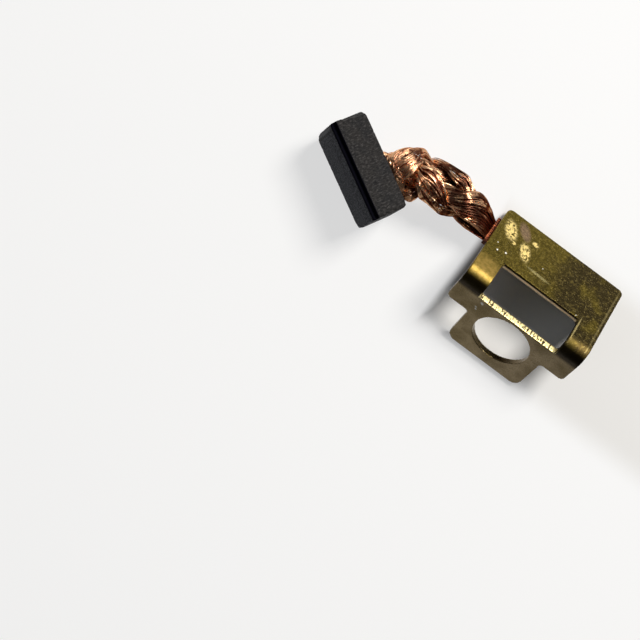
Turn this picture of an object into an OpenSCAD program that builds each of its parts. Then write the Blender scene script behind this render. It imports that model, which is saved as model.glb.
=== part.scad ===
// Carbon brush: a moulded carbon block, a plaited copper pigtail tamped into it,
// and a folded brass terminal to which the other end of the pigtail is welded.
// The brush lies at rest: the terminal stands like a tent on its two free edges
// and the block leans on one corner. Millimetres, +Z up, floor at z = 0.

/* [Terminal sheet] */
// Thickness of the brass sheet
sheet_t = 0.6; // [0.5:0.05:0.7]
// Width of the terminal along its fold
terminal_w = 12.2; // [11.6:0.1:12.8]
// Length of the leg that carries the weld, from the outer corner of the fold
weld_leg_l = 8.5; // [8.2:0.1:9]
// Radius of the two free corners of the weld leg
weld_leg_corner_r = 0.5; // [0.2:0.1:0.8]
// Outside radius of the fold
fold_r = 1.3; // [1:0.1:1.5]

/* [Hole leg] */
// Length of the leg with the hole, from the outer corner of the fold
hole_leg_l = 8.6; // [8.2:0.1:9]
// Length over which the hole leg keeps the full width
shoulder_l = 4.1; // [3.8:0.1:4.4]
// Radius of the shoulder corners
shoulder_r = 0.5; // [0.3:0.1:0.8]
// Width of the tongue beyond the shoulders
tongue_w = 7.6; // [7.2:0.1:8]
// Radius of the tongue corners
tongue_r = 0.9; // [0.5:0.1:1.2]
// Fillet between the shoulders and the tongue
notch_r = 0.35; // [0.2:0.05:0.5]
// Diameter of the screw hole
hole_d = 5.3; // [4.3:0.1:5.5]
// Distance of the hole centre from the outer corner of the fold
hole_from_fold = 4.7; // [4.6:0.05:4.9]

/* [Window in the fold] */
// Width of the window
window_w = 7.8; // [7:0.1:8.4]
// Reach of the window up the weld leg, from the outer corner of the fold
window_up = 3.1; // [2.6:0.1:3.4]
// Reach of the window down the hole leg, from the outer corner of the fold
window_down = 1.7; // [1.5:0.05:1.8]
// Radius of the window corners in the weld leg
window_r = 0.35; // [0.2:0.05:0.6]
// Radius of the window corners in the hole leg
window_foot_r = 0.3; // [0.2:0.05:0.35]

/* [Carbon block] */
// Length of the block, in the direction in which it wears
block_l = 8.8; // [8:0.1:10]
// Width of the block
block_w = 4.6; // [4.4:0.1:5]
// Thickness of the block, in the direction in which the pigtail leaves
block_t = 3.3; // [3.1:0.1:3.6]
// Rounding of the block edges
block_edge_r = 0.25; // [0.1:0.05:0.4]
// Width of the rebate along one long edge, across the thickness
rebate_w = 0.45; // [0.2:0.05:0.6]
// Depth of the rebate, across the width
rebate_d = 0.4; // [0.1:0.05:0.5]
// Width of the shallow facet beside the rebate
facet_w = 1.5; // [1:0.1:2]
// Depth of the shallow facet at the rebate
facet_d = 0.12; // [0.05:0.01:0.2]
// Length of the bevel at the contact end
end_bevel_l = 0.45; // [0.2:0.05:0.8]
// Depth of the bevel at the contact end
end_bevel_d = 0.2; // [0.1:0.05:0.4]

/* [Shunt hole] */
// Diameter of the hole that holds the pigtail
shunt_hole_d = 3; // [2.8:0.1:3.4]
// Depth of the hole that holds the pigtail
shunt_hole_depth = 2.2; // [1.8:0.1:2.4]
// Distance of the hole from the back end of the block
shunt_from_back = 3; // [2.6:0.1:3.4]
// Bore through the tamped copper, around the pigtail
plug_bore_d = 2.4; // [2.4:0.05:2.6]
// Depth of the dish in the tamped copper
plug_dish = 0.25; // [0.1:0.05:0.4]

/* [Pigtail plait] */
// Turns of the plait from the block to the weld
plait_turns = 1; // [0.7:0.05:1.4]
// Angle at which the plait starts
plait_start = -90; // [-180:5:180]
// Loosening of the plait towards the weld: 1 keeps its pitch, more makes the end straighter
plait_ease = 1.6; // [1:0.1:2]
// Half thickness of a bundle that passes over or under, as a share of the pigtail's half width
bundle_thick = 0.235; // [0.18:0.005:0.24]
// Share by which it is thicker where it passes beside the others
bundle_swell = 0.11; // [0:0.01:0.11]
// Half angle that a bundle covers where it passes beside the others, in degrees
bundle_spread = 38; // [30:1:39]
// Half angle that it covers more where it passes over or under another, in degrees
bundle_spread_change = 15; // [0:1:15]
// Rings along each bundle
bundle_rings = 72; // [40:1:90]

/* [Welded end] */
// Width of the compacted, welded end of the pigtail
weld_w = 2.8; // [2.4:0.1:2.9]
// Thickness of the welded end
weld_t = 1; // [0.9:0.05:1.1]
// Length of the welded end that lies on the terminal
weld_in = 4; // [3:0.1:5]
// Length of the welded end that stands past the terminal's side
weld_out = 0.25; // [0.2:0.05:0.6]
// Distance of the welded end's middle line from the outer corner of the fold
weld_from_fold = 6; // [5.8:0.05:6]

/* [Hidden] */
$fn = 64;
over = 1;                  // how far a cutter runs past the surface it cuts
copper = [0.72, 0.45, 0.28];
brass = [0.55, 0.47, 0.24];
carbon = [0.19, 0.19, 0.2];

// Pose of the terminal: it leans so that the inner edges of both free ends touch the floor.
terminal_lean = atan((hole_leg_l - sheet_t) / (weld_leg_l - sheet_t));
ridge_h = weld_leg_l * sin(terminal_lean) + sheet_t * cos(terminal_lean);
terminal_at = [2.33, 0.07, ridge_h];

// Pose of the block: its length, width and thickness are its own x, y and z.
block_turn = [117, 4.5, 151.5];
block_at = [-6.94, -3.12, 2.09];

// A point turned about x, then y, then z, as rotate() does.
function turned(p, a) =
    let (q = [p.x, p.y * cos(a.x) - p.z * sin(a.x), p.y * sin(a.x) + p.z * cos(a.x)])
    let (r = [q.x * cos(a.y) + q.z * sin(a.y), q.y, q.z * cos(a.y) - q.x * sin(a.y)])
    [r.x * cos(a.z) - r.y * sin(a.z), r.x * sin(a.z) + r.y * cos(a.z), r.z];
function block_point(p) = block_at + turned(p, block_turn);
function terminal_point(p) = terminal_at + turned(p, [-terminal_lean, 0, 0]);

// ---------- terminal ----------
// Its own frame: x along the fold, y along the weld leg, z out of the weld leg's outer face.
// The origin is the outer corner that the two legs would make without the fold's radius.

// A plate from y0 to y1 with radius r at its two corners at y1.
module leg_outline(x0, x1, y0, y1, r) {
    translate([x0, y0]) square([x1 - x0, y1 - y0 - r]);
    translate([x0 + r, y0]) square([x1 - x0 - 2 * r, y1 - y0]);
    for (x = [x0 + r, x1 - r]) translate([x, y1 - r]) circle(r);
}

// The material left in an inner corner at the origin, for x > 0 and y > 0.
module inner_fillet(r) {
    difference() {
        translate([-r, -r]) square(2 * r);
        translate([r, r]) circle(r);
        translate([-over, r]) square([2 * over, over]);
        translate([r, -over]) square([over, 2 * over]);
    }
}

module hole_leg_outline() {
    tongue_x0 = (terminal_w - tongue_w) / 2;
    tongue_x1 = tongue_x0 + tongue_w;
    leg_outline(0, terminal_w, fold_r, shoulder_l, shoulder_r);
    leg_outline(tongue_x0, tongue_x1, shoulder_l - shoulder_r, hole_leg_l, tongue_r);
    translate([tongue_x1, shoulder_l]) inner_fillet(notch_r);
    translate([tongue_x0, shoulder_l]) mirror([1, 0]) inner_fillet(notch_r);
}

module weld_leg() {
    translate([0, 0, -sheet_t])
        linear_extrude(sheet_t) leg_outline(0, terminal_w, fold_r, weld_leg_l, weld_leg_corner_r);
}

// Turns an outline in x and y, drawn from the fold to the free end, into the hole leg's plane.
module in_hole_leg(height, from = 0) {
    translate([0, from, 0]) rotate([-90, 0, 0]) linear_extrude(height) children();
}

module fold() {
    rotate([90, 0, 90]) linear_extrude(terminal_w) translate([fold_r, -fold_r])
        difference() {
            intersection() {
                circle(fold_r);
                translate([-fold_r, 0]) square(fold_r);
            }
            circle(fold_r - sheet_t);
        }
}

module window_cutter() {
    x0 = (terminal_w - window_w) / 2;
    x1 = x0 + window_w;
    translate([0, 0, -fold_r]) linear_extrude(fold_r + over)
        leg_outline(x0, x1, -over, window_up, window_r);
    in_hole_leg(fold_r + over, -over) leg_outline(x0, x1, -over, window_down, window_foot_r);
}

module terminal() {
    color(brass) translate(terminal_at) rotate([-terminal_lean, 0, 0])
        difference() {
            union() {
                weld_leg();
                fold();
                in_hole_leg(sheet_t) hole_leg_outline();
            }
            window_cutter();
            translate([terminal_w / 2, -over, -hole_from_fold]) rotate([-90, 0, 0])
                cylinder(h = sheet_t + 2 * over, d = hole_d);
        }
}

// ---------- welded end ----------
// The strands are pressed and welded into one flat bar on the inside of the weld leg.
module welded_end() {
    edge_r = 0.35;
    half_w = weld_w / 2;
    color(copper) translate(terminal_at) rotate([-terminal_lean, 0, 0])
        translate([-weld_out, weld_from_fold, -sheet_t]) rotate([90, 0, 90])
            linear_extrude(weld_in + weld_out) mirror([0, 1])
                leg_outline(-half_w, half_w, 0, weld_t, edge_r);
}

// ---------- carbon block ----------
// A box whose edges along each of its three directions are rounded by one outline.
module rounded_square(size, r) {
    translate([r, 0]) square([size.x - 2 * r, size.y]);
    translate([0, r]) square([size.x, size.y - 2 * r]);
    for (x = [r, size.x - r], y = [r, size.y - r]) translate([x, y]) circle(r);
}

module rounded_box(size, r) {
    intersection() {
        linear_extrude(size.z) rounded_square([size.x, size.y], r);
        rotate([90, 0, 90]) linear_extrude(size.x) rounded_square([size.y, size.z], r);
        translate([0, size.y, 0]) rotate([90, 0, 0]) linear_extrude(size.y)
            rounded_square([size.x, size.z], r);
    }
}

module rebate_cutter() {
    translate([-over, block_w - rebate_d, -over])
        cube([block_l + 2 * over, rebate_d + over, rebate_w + over]);
}

// The shallow facet runs along the thin face, from nothing to its full depth at the rebate.
module facet_cutter() {
    y0 = block_w - rebate_d - facet_w;
    translate([-over, 0, 0]) rotate([90, 0, 90]) linear_extrude(block_l + 2 * over)
        polygon([[y0, 0], [block_w, facet_d * (facet_w + rebate_d) / facet_w], [block_w, -over], [y0, -over]]);
}

module end_bevel_cutter() {
    translate([0, block_w + over, 0]) rotate([90, 0, 0]) linear_extrude(block_w + 2 * over)
        polygon([[block_l - end_bevel_l, 0], [block_l, end_bevel_d], [block_l + over, end_bevel_d],
                 [block_l + over, -over], [block_l - end_bevel_l, -over]]);
}

// A small chip broken out of the edge between the wide face and the contact end.
module chip_cutter() {
    chip = 0.45;
    translate([block_l + 0.1, block_w + 0.1, block_t / 3]) rotate([0, 0, 45]) rotate([0, 20, 0])
        cube([chip, chip, 1.4 * chip], center = true);
}

module shunt_hole(d, depth) {
    translate([shunt_from_back, block_w / 2, block_t - depth]) cylinder(h = depth + over, d = d);
}

module carbon_block() {
    color(carbon) translate(block_at) rotate(block_turn)
        difference() {
            rounded_box([block_l, block_w, block_t], block_edge_r);
            rebate_cutter();
            facet_cutter();
            end_bevel_cutter();
            chip_cutter();
            shunt_hole(shunt_hole_d, shunt_hole_depth);
        }
}

// Copper powder tamped round the pigtail, dished where the tool pressed it.
module tamping_plug() {
    rim = shunt_hole_d / 2;
    bore = plug_bore_d / 2;
    color(copper) translate(block_at) rotate(block_turn)
        translate([shunt_from_back, block_w / 2, block_t - shunt_hole_depth])
            rotate_extrude()
                polygon([[bore, 0], [rim, 0], [rim, shunt_hole_depth], [bore, shunt_hole_depth - plug_dish]]);
}

// ---------- pigtail ----------
// Middle line of the pigtail, from the bottom of the shunt hole to the welded end. Each row is
// [point, half width, half thickness]. The stretch in the hole and the last point follow the block
// and the terminal, and the free points between them are laid by hand in one easy bend.
hole_r = plug_bore_d / 2 - 0.02;
function in_hole(up) =
    block_point([shunt_from_back, block_w / 2, block_t - shunt_hole_depth + up]);
route = [
    [in_hole(-1.1), hole_r, hole_r],
    [in_hole(0), hole_r, hole_r],
    [in_hole(shunt_hole_depth / 2), hole_r, hole_r],
    [in_hole(shunt_hole_depth), hole_r, hole_r],
    [in_hole(shunt_hole_depth + 0.95), 1.7, 1.65],
    [[-6.5, 3.2, 2.05], 2, 1.85],
    [[-5.45, 3.7, 2], 2, 1.85],
    [[-4.25, 4.05, 2], 1.95, 1.8],
    [[-3.05, 4.15, 2], 1.95, 1.85],
    [[-1.8, 4.15, 1.95], 1.95, 1.85],
    [[-0.6, 4.1, 1.8], 1.9, 1.7],
    [[0.6, 3.8, 1.6], 1.7, 1.25],
    [terminal_point([-weld_out, weld_from_fold, -sheet_t - weld_t / 2]), weld_w / 2, weld_t / 2],
    [[3.05, 3.8, 1.6], weld_w / 2, weld_t / 2]
];
spans = len(route) - 3;    // the first and the last row only steer the ends

// Smooth curve through the rows of a list: u = 0 at row 1, and 1 more at each row after it.
function spline(v, u) =
    let (i = max(0, min(floor(u), len(v) - 4)), t = u - i)
    v[i + 1] + t / 2 * ((v[i + 2] - v[i])
        + t * ((2 * v[i] - 5 * v[i + 1] + 4 * v[i + 2] - v[i + 3])
        + t * (3 * (v[i + 1] - v[i + 2]) + v[i + 3] - v[i])));
points = [for (row = route) row[0]];
half_widths = [for (row = route) row[1]];
half_thicks = [for (row = route) row[2]];

function unit(v) = v / norm(v);
step = 0.001;
function heading(u) = unit(spline(points, u + step) - spline(points, u - step));

// Direction of the pigtail's width, square to its run: as near as can be to the way along the weld leg.
weld_way = turned([0, 1, 0], [-terminal_lean, 0, 0]);
function width_way(ahead) = unit(weld_way - (weld_way * ahead) * ahead);

// Four bundles in a round plait: two turn one way and two the other, each passing over and
// under the others in turn. A bundle's section is an ellipse bent round the pigtail's middle
// line. Its radii are shares of the pigtail's half width, and its angles are in degrees.
rise = 0.25;
rise_sharpness = 2.5;
function tanh(x) = 1 - 2 / (exp(2 * x) + 1);
function lift(angle) = tanh(rise_sharpness * cos(2 * angle)) / tanh(rise_sharpness);
function plait_angle(u) = plait_start + 360 * plait_turns * (1 - pow(1 - u / spans, plait_ease));

function bundle_ring(u, way, start, sides) =
    let (ahead = heading(u), across = width_way(ahead), up = cross(ahead, across),
         angle = plait_angle(u),
         over_under = way * lift(angle),
         radius = 1 - rise - bundle_thick + rise * over_under,
         thick = bundle_thick + bundle_swell * (1 - pow(over_under, 2)),
         spread = bundle_spread + bundle_spread_change * pow(over_under, 4))
    [for (k = [0 : sides - 1])
        let (a = 360 * k / sides, r = radius + thick * cos(a),
             turn = way * angle + start + spread * sin(a))
        spline(points, u) + r * (spline(half_widths, u) * cos(turn) * across
                                 + spline(half_thicks, u) * sin(turn) * up)];

module bundle(way, start) {
    sides = 16;
    rings = [for (i = [0 : bundle_rings]) bundle_ring(spans * i / bundle_rings, way, start, sides)];
    vertices = [for (ring = rings, p = ring) p];
    last = bundle_rings * sides;
    walls = [for (i = [0 : bundle_rings - 1], k = [0 : sides - 1], half = [0, 1])
        let (a = i * sides + k, b = i * sides + (k + 1) % sides)
        half == 0 ? [a, b + sides, b] : [a, a + sides, b + sides]];
    first_cap = [for (k = [0 : sides - 1]) k];
    last_cap = [for (k = [sides - 1 : -1 : 0]) last + k];
    color(copper) polyhedron(vertices, concat(walls, [first_cap, last_cap]), convexity = 6);
}

module pigtail_bundle_1() { bundle(1, 0); }
module pigtail_bundle_2() { bundle(1, 180); }
module pigtail_bundle_3() { bundle(-1, 0); }
module pigtail_bundle_4() { bundle(-1, 180); }

carbon_block();
tamping_plug();
pigtail_bundle_1();
pigtail_bundle_2();
pigtail_bundle_3();
pigtail_bundle_4();
welded_end();
terminal();
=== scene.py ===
"""A carbon brush at rest: a carbon block, a plaited copper pigtail and a folded brass terminal."""
from math import atan2, cos, pi, radians, sin

import bpy
import numpy as np
from mathutils import Euler, Matrix, Vector, noise


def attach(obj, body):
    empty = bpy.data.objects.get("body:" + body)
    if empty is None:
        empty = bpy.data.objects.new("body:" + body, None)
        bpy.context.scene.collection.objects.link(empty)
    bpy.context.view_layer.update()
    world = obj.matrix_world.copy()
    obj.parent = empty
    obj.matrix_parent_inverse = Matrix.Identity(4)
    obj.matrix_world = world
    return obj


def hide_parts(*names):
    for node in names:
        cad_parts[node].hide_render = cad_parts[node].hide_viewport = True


MM = 0.001  # lengths below are in millimetres, and meshes are scaled to metres at the end

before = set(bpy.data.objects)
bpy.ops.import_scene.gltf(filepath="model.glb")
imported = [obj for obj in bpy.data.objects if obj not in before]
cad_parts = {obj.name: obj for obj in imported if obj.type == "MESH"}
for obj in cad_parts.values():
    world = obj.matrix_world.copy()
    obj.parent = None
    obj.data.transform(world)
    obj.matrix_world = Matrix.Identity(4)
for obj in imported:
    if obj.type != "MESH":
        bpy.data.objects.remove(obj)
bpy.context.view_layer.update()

# Poses of the two rigid ends, as in the part's source.
SHEET_T = 0.6
WELD_LEG_L = 8.5
HOLE_LEG_L = 8.6
BLOCK_SIZE = Vector((8.8, 4.6, 3.3))
BLOCK_TURNS = (117, 4.5, 151.5)
LEAN = atan2(HOLE_LEG_L - SHEET_T, WELD_LEG_L - SHEET_T)
RIDGE_H = WELD_LEG_L * sin(LEAN) + SHEET_T * cos(LEAN)
TERMINAL_POSE = Matrix.Translation((2.33, 0.07, RIDGE_H)) @ Matrix.Rotation(-LEAN, 4, "X")
BLOCK_ROTATION = Euler([radians(turn) for turn in BLOCK_TURNS], "XYZ").to_matrix().to_4x4()
BLOCK_POSE = Matrix.Translation((-6.94, -3.12, 2.09)) @ BLOCK_ROTATION


# ---------- node helpers ----------

class Nodes:
    """Short calls for the nodes of one tree. Sizes and places are in millimetres."""

    def __init__(self, tree):
        self.tree = tree

    def add(self, kind, settings=None, **inputs):
        """A new node. The name of an input has underscores for its spaces."""
        node = self.tree.nodes.new(kind)
        for key, value in (settings or {}).items():
            setattr(node, key, value)
        for key, value in inputs.items():
            self.put(node.inputs[key.replace("_", " ")], value)
        return node

    def put(self, socket, value):
        """Links a node's output to the socket, or sets a plain value on it."""
        if isinstance(value, bpy.types.NodeSocket):
            self.tree.links.new(value, socket)
        else:
            socket.default_value = value

    def math(self, operation, a, b=0.0):
        node = self.add("ShaderNodeMath", {"operation": operation})
        self.put(node.inputs[0], a)
        self.put(node.inputs[1], b)
        return node.outputs[0]

    def plus(self, a, b):
        return self.math("ADD", a, b)

    def minus(self, a, b):
        return self.math("SUBTRACT", a, b)

    def times(self, first, *others):
        for other in others:
            first = self.math("MULTIPLY", first, other)
        return first

    def most(self, first, *others):
        for other in others:
            first = self.math("MAXIMUM", first, other)
        return first

    def mix(self, share, a, b):
        """Colour a where share is 0, and colour b where it is 1."""
        node = self.add("ShaderNodeMix", {"data_type": "RGBA"})
        self.put(node.inputs[0], share)
        self.put(node.inputs[6], a)
        self.put(node.inputs[7], b)
        return node.outputs[2]

    def ramp(self, value, start, end, out_start=0.0, out_end=1.0):
        """A smooth step from out_start to out_end. Its end may lie below its start."""
        node = self.add("ShaderNodeMapRange", {"interpolation_type": "SMOOTHSTEP"})
        for i, v in enumerate((value, start, end, out_start, out_end)):
            self.put(node.inputs[i], v)
        return node.outputs[0]

    def band(self, value, start, full_from, full_to, end):
        """Rises from 0 to 1, stays there, and falls back to 0."""
        return self.times(self.ramp(value, start, full_from), self.ramp(value, end, full_to))

    def place(self):
        """The surface point in the part's own frame."""
        point = self.add("ShaderNodeNewGeometry").outputs["Position"]
        node = self.add("ShaderNodeVectorMath", {"operation": "SCALE"})
        self.put(node.inputs[0], point)
        node.inputs["Scale"].default_value = 1 / MM
        return node.outputs[0]

    def local(self, point, pose):
        """A point of the part's frame in the own frame of a posed piece, as x, y and z."""
        back = pose.inverted()
        results = []
        for row in range(3):
            node = self.add("ShaderNodeVectorMath", {"operation": "DOT_PRODUCT"})
            self.put(node.inputs[0], point)
            node.inputs[1].default_value = back[row][:3]
            results.append(self.plus(node.outputs["Value"], back[row][3]))
        return results

    def vector(self, x, y, z=0.0):
        return self.add("ShaderNodeCombineXYZ", X=x, Y=y, Z=z).outputs[0]

    def noise(self, point, size, detail=2.0, stretch=(1, 1, 1), roughness=0.5):
        """Noise from 0 to 1 whose features are about size across."""
        node = self.add("ShaderNodeVectorMath", {"operation": "MULTIPLY"})
        self.put(node.inputs[0], point)
        node.inputs[1].default_value = [1 / (size * s) for s in stretch]
        texture = self.add("ShaderNodeTexNoise", Vector=node.outputs[0], Scale=1.0,
                           Detail=detail, Roughness=roughness)
        return texture.outputs["Fac"]

    def spot(self, x, y, centre, radii, turn=0.0, soft=0.5):
        """1 inside an ellipse in a piece's own plane, falling softly to 0 at its edge."""
        c, s = cos(radians(turn)), sin(radians(turn))
        dx = self.minus(x, centre[0])
        dy = self.minus(y, centre[1])
        along = self.plus(self.times(dx, c / radii[0]), self.times(dy, s / radii[0]))
        across = self.minus(self.times(dy, c / radii[1]), self.times(dx, s / radii[1]))
        square = self.plus(self.times(along, along), self.times(across, across))
        return self.ramp(square, 1 - soft, 1 + soft, 1, 0)

    def bump(self, height, strength, depth):
        """Normal from a height of 0 to 1 that stands for a depth."""
        node = self.add("ShaderNodeBump", Height=height, Strength=strength, Distance=depth * MM)
        return node.outputs["Normal"]


class MaterialNodes(Nodes):
    """The nodes of a new material with one Principled shader."""

    def __init__(self, name):
        self.material = bpy.data.materials.new(name)
        self.material.use_nodes = True
        super().__init__(self.material.node_tree)

    def finish(self, **inputs):
        """Sets the shader's inputs, and gives the material."""
        shader = self.tree.nodes["Principled BSDF"]
        for key, value in inputs.items():
            self.put(shader.inputs[key.replace("_", " ")], value)
        return self.material


# ---------- camera, light and floor ----------

CAMERA_AT = Vector((-4.84, 11.18, 112.87))
CAMERA_TARGET = Vector((-4.93, -11.83, 0))
CAMERA_TURN = 36.2
SENSOR = 36
LENS = 73.1
NEAR_CLIP_METRES = 0.001

# A lamp is [direction from the object, distance and size in metres, watts, colour].
KEY_LAMP = ((0.25, 0.8, 0.75), 0.35, 0.12, 1.5, (1, 0.97, 0.92))
FILL_LAMP = ((-0.8, -0.9, 0.9), 0.4, 0.3, 0.08, (0.85, 0.92, 1))

# Strengths of the studio at its sides and overhead, and the share left away from the key lamp.
STUDIO_COLOUR = (0.92, 0.96, 1, 1)
STUDIO_SIDES = 0.21
STUDIO_OVERHEAD = 0.03
STUDIO_FAR_SIDE = 0.25

FLOOR_HALF_METRES = 0.6
FLOOR_GAP = 0.02
FLOOR_PALE = (0.9, 0.9, 0.9, 1)
FLOOR_GLOW = 0.65
WHITE = (1, 1, 1, 1)
BLACK = (0, 0, 0, 1)


def add_camera():
    """A camera nearly overhead, turned so that the fold runs down to the right."""
    turn = radians(CAMERA_TURN)
    at = CAMERA_AT * MM
    forward = (CAMERA_TARGET * MM - at).normalized()
    top = Vector((-sin(turn), cos(turn), 0))
    right = forward.cross(top).normalized()
    up = right.cross(forward)
    axes = Matrix((right, up, -forward)).transposed()
    data = bpy.data.cameras.new("camera")
    data.sensor_width = SENSOR
    data.lens = LENS
    data.clip_start = NEAR_CLIP_METRES
    camera = bpy.data.objects.new("camera", data)
    camera.matrix_world = Matrix.Translation(at) @ axes.to_4x4()
    bpy.context.scene.collection.objects.link(camera)
    bpy.context.scene.camera = camera


def add_lamp(name, direction, distance, size, watts, colour):
    """A round area lamp that stands in a direction from the object and faces it."""
    data = bpy.data.lights.new(name, "AREA")
    data.shape = "DISK"
    data.size = size
    data.energy = watts
    data.color = colour
    lamp = bpy.data.objects.new(name, data)
    way = Vector(direction).normalized()
    lamp.location = way * distance
    lamp.rotation_euler = way.to_track_quat("Z", "Y").to_euler()
    bpy.context.scene.collection.objects.link(lamp)


def add_world():
    """A studio that is pale on the key lamp's side and dark overhead, where the camera looks from."""
    world = bpy.data.worlds.new("studio")
    world.use_nodes = True
    n = Nodes(world.node_tree)
    way = n.add("ShaderNodeTexCoord").outputs["Generated"]
    parts = n.add("ShaderNodeSeparateXYZ", Vector=way)
    by_height = n.ramp(parts.outputs["Z"], 0.45, 0.85, STUDIO_SIDES, STUDIO_OVERHEAD)
    by_side = n.ramp(parts.outputs["Y"], -0.6, 0.3, STUDIO_FAR_SIDE, 1)
    background = world.node_tree.nodes["Background"]
    n.put(background.inputs["Color"], STUDIO_COLOUR)
    n.put(background.inputs["Strength"], n.times(by_height, by_side))
    bpy.context.scene.world = world


def add_floor():
    """A plain white floor. Away from the terminal it shows brighter, so that the background is white."""
    n = MaterialNodes("floor_paper")
    x, y, _ = n.local(n.place(), Matrix.Identity(4))
    outside = n.most(n.ramp(x, 2.6, 1.6), n.ramp(n.math("ABSOLUTE", y), 4.5, 7.5))
    rays = n.add("ShaderNodeLightPath")
    seen = n.most(rays.outputs["Is Camera Ray"], rays.outputs["Is Glossy Ray"])
    glow = n.times(outside, seen, FLOOR_GLOW)
    n.finish(Base_Color=n.mix(glow, FLOOR_PALE, BLACK), Roughness=0.9,
             Emission_Color=WHITE, Emission_Strength=glow)

    half = FLOOR_HALF_METRES
    corners = [(-half, -half, 0), (half, -half, 0), (half, half, 0), (-half, half, 0)]
    mesh = bpy.data.meshes.new("floor")
    mesh.from_pydata(corners, [], [(0, 1, 2, 3)])
    mesh.materials.append(n.material)
    floor = bpy.data.objects.new("floor", mesh)
    floor.location.z = -FLOOR_GAP * MM
    bpy.context.scene.collection.objects.link(floor)


def add_stage():
    """Soft studio light and a plain pale floor."""
    add_lamp("key", *KEY_LAMP)
    add_lamp("fill", *FILL_LAMP)
    add_world()
    add_floor()


# ---------- carbon ----------

# Places on the block, in its own frame: x runs along it to the contact end, y and z across it.
# A pair is [starts, full from], and a band is [starts, full from, full to, ends].
THIN_SIDE_Z = (0.3, 0.15)
BEVEL_X = (8.3, 8.42)
GROOVE_X = (8.1, 8.2, 8.28, 8.36)
REBATE_Y = (3.82, 4.08)
REBATE_Z = (0.58, 0.5)

COOL_CARBON = (0.009, 0.009, 0.01, 1)
WARM_CARBON = (0.015, 0.0135, 0.013, 1)
PALE_GRAIN = (0.045, 0.041, 0.041, 1)
SCUFF = (0.07, 0.066, 0.064, 1)
PIT = (0.003, 0.003, 0.004, 1)
# Painted light: the blue greys stand for sky light on one side, the bevel grey is a painted highlight, the
# groove black is painted shade.
DARK_BLUE_GREY = (0.009, 0.011, 0.02, 1)
PALE_BLUE_GREY = (0.05, 0.056, 0.078, 1)
PAINTED_BEVEL_HIGHLIGHT = (0.07, 0.07, 0.078, 1)
PAINTED_GROOVE_SHADE = (0.004, 0.004, 0.006, 1)
# Painted shade in the rebate, where its step shades it.
PAINTED_REBATE_SHADE = (0.004, 0.004, 0.007, 1)


def carbon_material():
    """Pressed carbon and graphite: nearly black, fine grain, short pale scuffs, with painted sky light on
    one side, a painted highlight on its bevel, and painted shade in a groove and in the rebate.
    """
    n = MaterialNodes("pressed_carbon")
    x, y, z = n.local(n.place(), BLOCK_POSE)
    own = n.vector(x, y, z)
    grain = n.noise(own, 0.2, 4, stretch=(0.7, 1, 1.6), roughness=0.7)
    scuffs = n.noise(own, 0.14, 2, stretch=(0.7, 1, 3.5))
    clouds = n.noise(own, 1.4, 3)
    colour = n.mix(n.ramp(clouds, 0.35, 0.65), COOL_CARBON, WARM_CARBON)
    colour = n.mix(n.ramp(grain, 0.5, 0.66), colour, PALE_GRAIN)
    colour = n.mix(n.ramp(scuffs, 0.62, 0.74, 0, 0.7), colour, SCUFF)
    colour = n.mix(n.ramp(grain, 0.46, 0.36), colour, PIT)

    # Painted light on one side: it is painted bluer for the sky light on it, with a painted highlight on
    # its bevel and painted shade in a fine groove along the contact end.
    on_thin_side = n.ramp(z, *THIN_SIDE_Z)
    sky_lit_blue = n.mix(n.ramp(grain, 0.42, 0.62), DARK_BLUE_GREY, PALE_BLUE_GREY)
    colour = n.mix(n.times(on_thin_side, 0.7), colour, sky_lit_blue)
    colour = n.mix(n.times(n.ramp(x, *BEVEL_X), on_thin_side), colour, PAINTED_BEVEL_HIGHLIGHT)
    colour = n.mix(n.times(n.band(x, *GROOVE_X), on_thin_side), colour, PAINTED_GROOVE_SHADE)

    # Painted shade: the rebate is painted nearly black; it is also fully rough and has no shine.
    in_rebate = n.times(n.ramp(y, *REBATE_Y), n.ramp(z, *REBATE_Z))
    colour = n.mix(in_rebate, colour, PAINTED_REBATE_SHADE)
    rough = n.most(n.ramp(grain, 0.3, 0.7, 0.75, 0.55), in_rebate)
    shine = n.times(n.minus(1, in_rebate), 0.2)
    height = n.plus(n.times(grain, 0.7), n.times(scuffs, 0.3))
    return n.finish(Base_Color=colour, Roughness=rough, Metallic=0.0, Specular_IOR_Level=shine,
                    Normal=n.bump(height, 1.0, 0.13))


# ---------- copper ----------

DARK_WIRE = (0.42, 0.15, 0.085, 1)
PALE_WIRE = (1, 0.63, 0.37, 1)
DARK_PATCH_WIRE = (0.1, 0.024, 0.014, 1)
REDDENED_WIRE = (0.28, 0.055, 0.028, 1)
WIRE_EDGE_TINT = (0.5, 0.22, 0.13, 1)
DARK_WELD = (0.04, 0.01, 0.006, 1)
PALE_WELD = (0.25, 0.07, 0.03, 1)
DARK_POWDER = (0.12, 0.045, 0.025, 1)
PALE_POWDER = (0.42, 0.2, 0.12, 1)


def copper_material():
    """Bare copper wire: each wire has its own tone, patches are darker and grow towards the weld, and the
    weld has reddened one end.
    """
    n = MaterialNodes("copper_wire")
    on_wire = n.add("ShaderNodeUVMap", {"uv_map": "tone_and_share"}).outputs["UV"]
    parts = n.add("ShaderNodeSeparateXYZ", Vector=on_wire)
    tone = parts.outputs["X"]
    share = parts.outputs["Y"]
    patches = n.noise(n.place(), 0.9, 3)
    # Darker patches, more of them towards the weld end.
    dark_patches = n.plus(patches, n.ramp(share, 0.4, 0.7, 0, 0.135))
    colour = n.mix(tone, DARK_WIRE, PALE_WIRE)
    colour = n.mix(n.ramp(dark_patches, 0.56, 0.64, 0, 0.9), colour, DARK_PATCH_WIRE)
    colour = n.mix(n.ramp(share, 0.85, 1, 0, 0.85), colour, REDDENED_WIRE)
    rough = n.ramp(patches, 0.3, 0.7, 0.22, 0.36)
    return n.finish(Base_Color=colour, Metallic=1.0, Roughness=rough, Specular_Tint=WIRE_EDGE_TINT)


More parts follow.
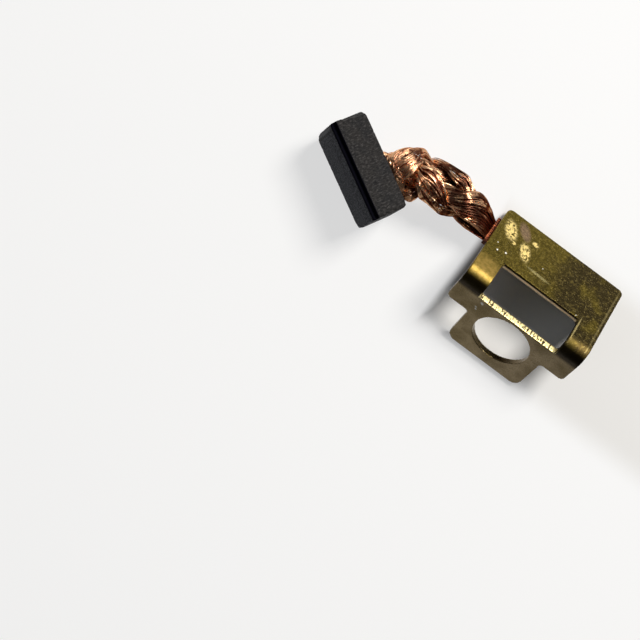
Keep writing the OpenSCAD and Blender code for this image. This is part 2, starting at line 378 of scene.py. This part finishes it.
def weld_material():
    """Wires welded into one bar, with their ridges still showing along it."""
    n = MaterialNodes("welded_copper")
    x, y, z = n.local(n.place(), TERMINAL_POSE)
    ridges = n.noise(n.vector(x, y, z), 0.12, 2, stretch=(8, 1, 1))
    colour = n.mix(n.ramp(ridges, 0.4, 0.62), DARK_WELD, PALE_WELD)
    return n.finish(Base_Color=colour, Metallic=1.0, Roughness=0.4, Normal=n.bump(ridges, 1.0, 0.1))


def powder_material():
    """Copper powder tamped hard: a dull grained copper."""
    n = MaterialNodes("tamped_copper")
    grain = n.noise(n.place(), 0.12, 3)
    colour = n.mix(n.ramp(grain, 0.35, 0.65), DARK_POWDER, PALE_POWDER)
    return n.finish(Base_Color=colour, Metallic=0.8, Roughness=0.5, Normal=n.bump(grain, 1.0, 0.06))


# ---------- brass ----------

# Places on the terminal, in its own frame: x runs along the fold, y down the weld leg from the
# fold, and z out of the weld leg, so that the hole leg runs down z.
# A band is [starts, full from, full to, ends].
BLACK_BAND_Z = (-2.0, -1.5, -0.5, -0.25)
WINDOW_X = (2.1, 2.2, 10.0, 10.1)
WINDOW_FOOT_Z = (-1.8, -1.72, -1.3, -1.1)
WINDOW_WALL_Y = (3.0, 3.07, 3.14, 3.2)
WALL_STRIP_Z = (-0.54, -0.47, -0.3, -0.22)

# A mark on the weld leg is [x, y, half length, half width, turn in degrees].
# Painted highlights at the start and the end of the fold.
HIGHLIGHT_AT_FOLD_START = (0.9, 1.5, 1.7, 1.2, 0)
HIGHLIGHT_AT_FOLD_END = (11.6, 0.9, 0.9, 0.7, 0)
WELD_MARKS = (
    (1.2, 6.55, 1.05, 0.6, -62),
    (1.95, 5.55, 0.25, 0.18, -20),
    (3.2, 5.45, 0.95, 0.5, -62),
    (3.6, 6.85, 0.32, 0.25, 0),
)
WELD_BLUSH = (2.3, 7.3, 0.9, 0.45, -50)
STREAK = (5.1, 4.3, 1.1, 0.13, -3)
# Painted highlights along the window's end and along the outer edge.
WINDOW_END_HIGHLIGHT = (10.16, 2.3, 0.07, 1.1, 0)
OUTER_EDGE_HIGHLIGHT = (11.85, 4.6, 0.09, 3.9, 0)

# A speck of dirt is [x, y, size] on the weld leg, and [x, way down, size] on the hole leg.
WELD_LEG_SPECKS = (
    (1.1, 3.9, 0.08),
    (1.85, 4.15, 0.09),
    (0.8, 4.6, 0.05),
    (5.2, 5.2, 0.05),
    (9.6, 3.3, 0.05),
)
HOLE_LEG_SPECKS = (
    (2.75, 2.18, 0.16),
    (2.55, 3.0, 0.1),
    (2.65, 3.25, 0.09),
)
SPECK_FLATNESS = 0.7
SPECK_TURN = 35

OLIVE = (0.19, 0.14, 0.026, 1)
BROWN_OLIVE = (0.072, 0.053, 0.02, 1)
PALE_MOTTLE = (0.36, 0.27, 0.07, 1)
DARK_MOTTLE = (0.07, 0.05, 0.012, 1)
BRIGHT_SPECK = (0.6, 0.48, 0.2, 1)
BRIGHT_SCRATCH = (0.55, 0.45, 0.2, 1)
# Painted highlight at the ends of the fold.
PAINTED_FOLD_HIGHLIGHT = (0.31, 0.205, 0.055, 1)
# Painted shade on the hole leg.
DARK_HOLE_LEG_SHADE = (0.1, 0.073, 0.036, 1)
PALE_HOLE_LEG_SHADE = (0.17, 0.13, 0.075, 1)
# Painted dark reflection on the bend.
DARK_BEND_REFLECTION = (0.012, 0.008, 0.004, 1)
# Painted highlight on the window's foot, and painted shade and highlight on its far wall.
PAINTED_FOOT_HIGHLIGHT = (0.98, 0.83, 0.42, 1)
WALL_SHADE = (0.02, 0.013, 0.005, 1)
WALL_HIGHLIGHT = (0.85, 0.68, 0.45, 1)
WELD_GOLD = (0.92, 0.71, 0.27, 1)
BLUSH_PINK = (0.6, 0.38, 0.28, 1)
STREAK_GOLD = (0.8, 0.68, 0.3, 1)
# Painted highlight along edges.
PAINTED_EDGE_HIGHLIGHT = (0.75, 0.6, 0.26, 1)
PALE_DIRT = (0.8, 0.78, 0.72, 1)


def brass_material():
    """Rolled brass that has dulled to olive, with weld marks, scratches and specks of dirt, and painted
    highlights, shade and a dark reflection at the fold, the hole leg, the window and the edges.
    """
    n = MaterialNodes("dull_brass")
    x, y, z = n.local(n.place(), TERMINAL_POSE)
    own = n.vector(x, y, z)
    on_weld_leg = n.ramp(z, -0.3, -0.1)

    def mark(place, soft):
        return n.spot(x, y, place[:2], place[2:4], place[4], soft)

    # Olive at the start of the fold and browner further on, mottled, specked and scratched.
    mottle = n.noise(own, 0.32, 4, roughness=0.7)
    clouds = n.noise(own, 2.4, 2)
    speck = n.noise(own, 0.13, 2)
    slanted = n.vector(n.plus(x, y), n.minus(x, y), z)
    scratch = n.noise(slanted, 0.07, 1, stretch=(9, 1, 9))
    brown = n.times(n.ramp(x, 4, 8), n.ramp(clouds, 0.3, 0.5))
    colour = n.mix(brown, OLIVE, BROWN_OLIVE)
    colour = n.mix(n.ramp(mottle, 0.5, 0.75, 0, 0.6), colour, PALE_MOTTLE)
    colour = n.mix(n.ramp(mottle, 0.5, 0.3, 0, 0.35), colour, DARK_MOTTLE)
    colour = n.mix(n.ramp(speck, 0.64, 0.74, 0, 0.6), colour, BRIGHT_SPECK)
    colour = n.mix(n.ramp(scratch, 0.68, 0.78, 0, 0.5), colour, BRIGHT_SCRATCH)

    # A painted highlight in gold at both ends of the fold, and duller on the bend.
    fold_highlight = n.most(mark(HIGHLIGHT_AT_FOLD_START, 0.9), n.times(mark(HIGHLIGHT_AT_FOLD_END, 0.9), 0.3))
    highlight_share = n.times(fold_highlight, n.ramp(mottle, 0.4, 0.62, 0.35, 1))
    colour = n.mix(highlight_share, colour, PAINTED_FOLD_HIGHLIGHT)
    rough = n.plus(n.ramp(mottle, 0.35, 0.65, 0.22, 0.3), n.times(fold_highlight, 0.16))
    rough = n.plus(rough, n.ramp(speck, 0.55, 0.7, 0, 0.08))
    on_bend = n.times(n.ramp(y, 2.0, 1.0), n.ramp(z, -1.6, -1.1))
    rough = n.most(rough, n.times(on_bend, 0.5))

    # Painted shade: the hole leg is painted browner and duller than the weld leg.
    on_hole_leg = n.times(n.ramp(z, -1.1, -1.4), n.ramp(y, 0.75, 0.6))
    hole_leg_shade = n.mix(n.ramp(clouds, 0.35, 0.65), DARK_HOLE_LEG_SHADE, PALE_HOLE_LEG_SHADE)
    colour = n.mix(n.times(on_hole_leg, 0.9), colour, hole_leg_shade)

    # Painted dark reflection: the outside of the bend is painted nearly black, and so is its crest at the
    # end of the fold.
    bend_reflection = n.times(n.band(z, *BLACK_BAND_Z), n.ramp(y, 0.75, 0.6))
    crest_end = n.times(n.ramp(x, 9.8, 10.4), n.ramp(y, 1.6, 0.9), n.ramp(z, -2.0, -1.5))
    bend_reflection = n.most(bend_reflection, n.times(crest_end, 0.6))
    colour = n.mix(n.times(bend_reflection, 0.93), colour, DARK_BEND_REFLECTION)

    # Painted light in the window: its foot has a ragged painted highlight, and its far wall is painted
    # dark as shade, with a painted highlight strip.
    in_window = n.band(x, *WINDOW_X)
    foot = n.times(n.band(z, *WINDOW_FOOT_Z), in_window)
    ragged = n.noise(n.vector(x, y), 0.16, 3, stretch=(1, 3, 1))
    colour = n.mix(n.times(foot, n.ramp(ragged, 0.42, 0.5)), colour, PAINTED_FOOT_HIGHLIGHT)
    rough = n.most(rough, n.times(foot, 0.5))
    wall = n.times(n.band(y, *WINDOW_WALL_Y), in_window)
    colour = n.mix(wall, colour, n.mix(n.band(z, *WALL_STRIP_Z), WALL_SHADE, WALL_HIGHLIGHT))
    rough = n.most(rough, n.times(wall, 0.6))

    # What the weld and the stamping have left on the weld leg, and painted highlights along two of its
    # edges.
    broken = n.ramp(n.noise(own, 0.28, 3, roughness=0.7), 0.4, 0.52)
    marks = n.times(n.most(*(mark(place, 0.6) for place in WELD_MARKS)), broken, on_weld_leg)
    colour = n.mix(marks, colour, WELD_GOLD)
    rough = n.most(rough, n.times(marks, 0.46))
    colour = n.mix(n.times(mark(WELD_BLUSH, 0.8), on_weld_leg, 0.45), colour, BLUSH_PINK)
    colour = n.mix(n.times(mark(STREAK, 0.9), on_weld_leg, 0.55), colour, STREAK_GOLD)
    # Painted highlights: a bright line along the window's end, and a fainter one along the outer edge.
    edge_highlight = n.most(n.times(mark(WINDOW_END_HIGHLIGHT, 0.7), 0.8), n.times(mark(OUTER_EDGE_HIGHLIGHT, 0.9), 0.25))
    colour = n.mix(n.times(edge_highlight, on_weld_leg), colour, PAINTED_EDGE_HIGHLIGHT)

    weld_leg_dirt = n.most(*(n.spot(x, y, place, (size, size)) for *place, size in WELD_LEG_SPECKS))
    down = n.times(z, -1)
    hole_leg_dirt = n.most(*(n.spot(x, down, place, (size, size * SPECK_FLATNESS), SPECK_TURN)
                             for *place, size in HOLE_LEG_SPECKS))
    on_outer_face = n.ramp(y, 0.1, 0.05)
    dirt = n.most(n.times(weld_leg_dirt, on_weld_leg), n.times(hole_leg_dirt, on_outer_face))
    colour = n.mix(dirt, colour, PALE_DIRT)
    height = n.plus(n.times(mottle, 0.6), n.times(speck, 0.4))
    return n.finish(Base_Color=colour, Metallic=n.minus(1, dirt), Roughness=rough,
                    Normal=n.bump(height, 0.6, 0.02))


# ---------- rigid pieces ----------

BLOCK_VOXEL = 0.06
SHEET_VOXEL = 0.075
CRUMBLE_DEPTH = 0.12
CORNER_WEAR = 0.08
GRAIN_DEPTH = 0.006
CHIP_DEPTH = 0.2
WAVE_DEPTH = 0.012
RIPPLE_DEPTH = 0.004


def remeshed(name, node, pose, voxel):
    """A fine, even copy of a CAD node, in the own frame of its pose and in millimetres."""
    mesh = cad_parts[node].data.copy()
    mesh.transform(pose.inverted() @ Matrix.Scale(1 / MM, 4))
    source = bpy.data.objects.new(name + "_source", mesh)
    bpy.context.scene.collection.objects.link(source)
    modifier = source.modifiers.new("even", "REMESH")
    modifier.mode = "VOXEL"
    modifier.voxel_size = voxel
    modifier.use_smooth_shade = True
    fine = bpy.data.meshes.new_from_object(source.evaluated_get(bpy.context.evaluated_depsgraph_get()))
    bpy.data.objects.remove(source)
    fine.materials.clear()
    fine.name = name
    return fine


def vertices_of(mesh):
    flat = np.empty(len(mesh.vertices) * 3)
    mesh.vertices.foreach_get("co", flat)
    return flat.reshape(-1, 3)


def normals_of(mesh):
    flat = np.empty(len(mesh.vertices) * 3)
    mesh.vertex_normals.foreach_get("vector", flat)
    return flat.reshape(-1, 3)


def smooth_step(value, low, high):
    t = np.clip((value - low) / (high - low), 0, 1)
    return t * t * (3 - 2 * t)


def field(points, size, seed):
    """Smooth noise from -1 to 1 at each point, with features of about size."""
    shift = Vector((seed * 17.3, seed * 5.1, seed * 9.7))
    return np.array([noise.noise(Vector(p) / size + shift) for p in points])


def add_piece(name, mesh, material, replaced, pose=Matrix.Identity(4)):
    """Puts a finished mesh, still in millimetres, in its place as a piece on the one body."""
    mesh.transform(Matrix.Scale(MM, 4) @ pose)
    mesh.materials.append(material)
    piece = bpy.data.objects.new(name, mesh)
    bpy.context.scene.collection.objects.link(piece)
    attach(piece, "root")
    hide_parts(*replaced)


def build_block(material):
    """The block with a fine pressed grain, crumbled edges and a chip at its contact end."""
    mesh = remeshed("block", "carbon_block", BLOCK_POSE, BLOCK_VOXEL)
    points = vertices_of(mesh)
    to_faces = np.sort(np.minimum(points, np.array(BLOCK_SIZE) - points), axis=1)
    near_edge = 1 - smooth_step(to_faces[:, 1], 0.05, 0.4)
    near_corner = 1 - smooth_step(to_faces.sum(axis=1), 0.3, 0.9)
    crumble = np.clip(field(points, 0.35, 1) + 0.5 * field(points, 0.15, 2) - 0.1, 0, 1)
    depth = CRUMBLE_DEPTH * near_edge * crumble
    depth += CORNER_WEAR * near_corner
    depth += GRAIN_DEPTH * (1 + field(points, 0.14, 3))
    points -= normals_of(mesh) * depth[:, None]
    x, y, z = points.T
    chip = smooth_step(z, 1.05, 1.2) * smooth_step(x, 8.4, 8.7) * smooth_step(y, 3.9, 4.4)
    points[:, 0] -= CHIP_DEPTH * chip
    mesh.vertices.foreach_set("co", points.ravel())
    add_piece("graphite_block", mesh, material, ["carbon_block"], BLOCK_POSE)


def build_terminal(material):
    """The sheet with softly rounded stamped edges and slight waves from handling."""
    mesh = remeshed("sheet", "terminal", TERMINAL_POSE, SHEET_VOXEL)
    points = vertices_of(mesh)
    depth = WAVE_DEPTH * (1 + field(points, 3.0, 4)) + RIPPLE_DEPTH * (1 + field(points, 0.8, 5))
    points -= normals_of(mesh) * depth[:, None]
    mesh.vertices.foreach_set("co", points.ravel())
    add_piece("brass_terminal", mesh, material, ["terminal"], TERMINAL_POSE)


# ---------- pigtail ----------

SHUNT_FROM_BACK = 3
SHUNT_DEPTH = 2.2
HOLE_R = 1.18
WELD_OUT = 0.25
WELD_FROM_FOLD = 6
WELD_W = 2.8
WELD_T = 1

# The plait: bundles 1 and 2 wind one way round the middle line, 3 and 4 the other way.
# A bundle is [way round, where it starts in degrees].
BUNDLES = ((1, 0), (1, 180), (-1, 0), (-1, 180))
PLAIT_TURNS = 1
PLAIT_START = -90
PLAIT_EASE = 1.6

# A bundle's rise and thickness are shares of the pigtail's half size, its spread is in degrees.
# It is thin and wide where it lies over or under the others, and thicker and narrower between.
RISE = 0.25
SINK_SHARE = 0.5
RISE_SHARPNESS = 1.7
BUNDLE_THICK = 0.235
THICKER_BETWEEN = 0.2
BUNDLE_SPREAD = 44
WIDER_OVER_AND_UNDER = 28

# Where loose wires swell the pigtail: [how much, starts, full from, full to, ends].
FULLER = (
    (0.42, 2, 2.25, 2.3, 3.3),
    (0.15, 2, 2.7, 4.6, 6.5),
    (0.05, 2.2, 4, 9.5, 11),
)

# A layer of wires is [number of wires, depth], with depth 1 at the outside of the bundle.
WIRE_R = 0.04
WIRE_SIDES = 5
WIRE_LAYERS = ((80, 0.93), (44, 0.7))
WIRE_LAY_TURNS = 0.35
WIRE_START = 0.15
STATIONS = 110
FLOOR_CLEARANCE = 0.02
MOST_DEPTH = 1.06
DEPTH_WANDER = 0.025
SUNK_DEPTH = 0.14
STRAY_CHANCE = 0.08
STRAY_LIFT = 0.07
TURN_WANDER = 0.09
TURN_SCATTER = 0.03
CLUMPING = 0.06
DARKEST_STRAND = 0.55
TONE_SCATTER = 0.15
SEED = 40


def in_hole(up):
    """A point on the axis of the block's hole, this far above its bottom."""
    point = BLOCK_POSE @ Vector((SHUNT_FROM_BACK, BLOCK_SIZE.y / 2, BLOCK_SIZE.z - SHUNT_DEPTH + up))
    return list(point)


def at_weld():
    """Where the welded bar starts, just outside the terminal's edge."""
    return list(TERMINAL_POSE @ Vector((-WELD_OUT, WELD_FROM_FOLD, -SHEET_T - WELD_T / 2)))


# Middle line of the pigtail: [x, y, z, half width, half thickness], as in the part's source.
ROUTE = np.array([
    in_hole(-1.1) + [HOLE_R, HOLE_R],
    in_hole(0) + [HOLE_R, HOLE_R],
    in_hole(SHUNT_DEPTH / 2) + [HOLE_R, HOLE_R],
    in_hole(SHUNT_DEPTH) + [HOLE_R, HOLE_R],
    in_hole(SHUNT_DEPTH + 0.95) + [1.7, 1.65],
    [-6.5, 3.2, 2.05, 2, 1.85],
    [-5.45, 3.7, 2, 2, 1.85],
    [-4.25, 4.05, 2, 1.95, 1.8],
    [-3.05, 4.15, 2, 1.95, 1.85],
    [-1.8, 4.15, 1.95, 1.95, 1.85],
    [-0.6, 4.1, 1.8, 1.9, 1.7],
    [0.6, 3.8, 1.6, 1.7, 1.25],
    at_weld() + [WELD_W / 2, WELD_T / 2],
    [3.05, 3.8, 1.6, WELD_W / 2, WELD_T / 2],
])
SPANS = len(ROUTE) - 3
# Half the plait's turn: bundles 3 and 4 lie over the others from the block to here.
FIRST_CROSSING = SPANS * (1 - 0.5 ** (1 / PLAIT_EASE))


def spline(rows, u):
    """Smooth curve through the rows: u = 0 at row 1, and 1 more at each row after it."""
    i = np.clip(np.floor(u).astype(int), 0, len(rows) - 4)
    t = (u - i)[:, None]
    a, b, c, d = rows[i], rows[i + 1], rows[i + 2], rows[i + 3]
    return b + t / 2 * ((c - a) + t * ((2 * a - 5 * b + 4 * c - d) + t * (3 * (b - c) + d - a)))


def unit(v):
    return v / np.linalg.norm(v, axis=1)[:, None]


def sections(u):
    """Centre, width direction, thickness direction and the two half sizes of the pigtail at u."""
    at = spline(ROUTE, u)
    step = 0.01
    ahead = unit(spline(ROUTE[:, :3], u + step) - spline(ROUTE[:, :3], u - step))
    way = np.array(TERMINAL_POSE.col[1][:3])
    across = unit(way - (ahead @ way)[:, None] * ahead)
    return at[:, :3], across, np.cross(ahead, across), at[:, 3], at[:, 4]


def fullness(u):
    """How many times larger the pigtail is at u than its route says."""
    full = np.ones_like(u)
    for amount, start, full_from, full_to, end in FULLER:
        full += amount * smooth_step(u, start, full_from) * (1 - smooth_step(u, full_to, end))
    return full


def in_bundle(u, way, start, angle, depth):
    """Points of one bundle at u: angle turns round its section, depth is 0 at its middle and 1 outside."""
    centre, across, up, half_width, half_thick = sections(u)
    plait = np.radians(PLAIT_START + 360 * PLAIT_TURNS * (1 - (1 - u / SPANS) ** PLAIT_EASE))
    over_under = way * np.tanh(RISE_SHARPNESS * np.cos(2 * plait)) / np.tanh(RISE_SHARPNESS)
    if way < 0:
        over_under = np.where(u < FIRST_CROSSING, 1, over_under)
    rise = RISE * np.where(over_under > 0, 1, SINK_SHARE)
    thick = BUNDLE_THICK + THICKER_BETWEEN * (1 - over_under ** 2)
    spread = np.radians(BUNDLE_SPREAD + WIDER_OVER_AND_UNDER * over_under ** 2)
    r = fullness(u) * (1 - RISE - BUNDLE_THICK + rise * over_under + thick * depth * np.cos(angle))
    turn = way * plait + radians(start) + spread * depth * np.sin(angle)
    sideways = (r * half_width * np.cos(turn))[:, None] * across
    upwards = (r * half_thick * np.sin(turn))[:, None] * up
    return centre + sideways + upwards


def wobble(u, rng, size, waves=3):
    """A slow random wave along u with values of about size."""
    total = np.zeros_like(u)
    for k in range(1, waves + 1):
        total += rng.normal() * np.sin(u * k * 0.9 + rng.uniform(0, 2 * pi)) / k
    return size * total


def tube(path, radius, sides):
    """Ring points and faces of a tube along a path."""
    ahead = unit(np.gradient(path, axis=0))
    off_the_path = np.array((0.12, 0.21, 0.97))
    side = unit(np.cross(ahead, off_the_path))
    other = np.cross(ahead, side)
    angles = (np.arange(sides) * 2 * pi / sides)[None, :, None]
    ring = np.cos(angles) * side[:, None, :] + np.sin(angles) * other[:, None, :]
    points = (path[:, None, :] + radius * ring).reshape(-1, 3)
    first = np.arange(len(path) - 1)[:, None] * sides
    corner = np.arange(sides)[None, :]
    a = (first + corner).ravel()
    b = (first + (corner + 1) % sides).ravel()
    return points, np.stack([a, b, b + sides, a + sides], axis=1)


def build_bundle(number, way, start, material):
    """One bundle of fine wires, twisted a little, in layers that close the gaps between them."""
    rng = np.random.default_rng(SEED + number)
    u = np.linspace(WIRE_START, SPANS, STATIONS)
    share = u / SPANS
    points, faces, tones, shares = [], [], [], []
    count = 0
    wires = [(2 * pi * k / total, depth) for total, depth in WIRE_LAYERS for k in range(total)]
    clump = rng.uniform(0, 2 * pi, 9)
    left_in_strand = 0
    for angle, depth in wires:
        # Three to six wires side by side share a tone, and the last of them is sunk and given the darkest
        # tone, as painted shade between the strands.
        left_in_strand -= 1
        if left_in_strand < 0:
            left_in_strand = rng.integers(2, 6)
            strand_tone = rng.uniform(DARKEST_STRAND, 1)
        sunk = left_in_strand == 0
        gather = CLUMPING * sum(sin(k * angle + clump[k]) for k in range(3, 9))
        turn = angle + gather - 2 * pi * WIRE_LAY_TURNS * share + wobble(u, rng, TURN_WANDER)
        turn += rng.normal() * TURN_SCATTER
        stray = STRAY_LIFT if rng.uniform() < STRAY_CHANCE else 0.0
        deep = depth - SUNK_DEPTH * sunk + wobble(u, rng, DEPTH_WANDER)
        deep += stray * (1 + np.sin(5 * share * pi + rng.uniform(0, 6)))
        path = in_bundle(u, way, start, turn, np.clip(deep, 0, MOST_DEPTH))
        path[:, 2] = np.maximum(path[:, 2], WIRE_R + FLOOR_CLEARANCE)
        ring, quads = tube(path, WIRE_R, WIRE_SIDES)
        points.append(ring)
        faces.append(quads + count)
        count += len(ring)
        tone = 0 if sunk else np.clip(strand_tone + rng.normal(0, TONE_SCATTER), 0, 1)
        tones.append(np.full(len(ring), tone))
        shares.append(np.repeat(share, WIRE_SIDES))
    name = f"wire_bundle_{number}"
    mesh = bpy.data.meshes.new(name)
    mesh.from_pydata(np.concatenate(points), [], np.concatenate(faces).tolist())
    mesh.polygons.foreach_set("use_smooth", [True] * len(mesh.polygons))
    corners = np.empty(len(mesh.loops), dtype=np.int32)
    mesh.loops.foreach_get("vertex_index", corners)
    values = np.stack([np.concatenate(tones), np.concatenate(shares)], axis=1)
    mesh.uv_layers.new(name="tone_and_share").data.foreach_set("uv", values[corners].ravel())
    add_piece(name, mesh, material, [f"pigtail_bundle_{number}"])


def main():
    bpy.context.scene.view_settings.view_transform = "Standard"
    add_camera()
    add_stage()
    copper = copper_material()
    build_block(carbon_material())
    build_terminal(brass_material())
    for number, (way, start) in enumerate(BUNDLES, 1):
        build_bundle(number, way, start, copper)
    for node, material in (("tamping_plug", powder_material()), ("welded_end", weld_material())):
        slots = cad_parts[node].data.materials
        slots.clear()
        slots.append(material)


main()
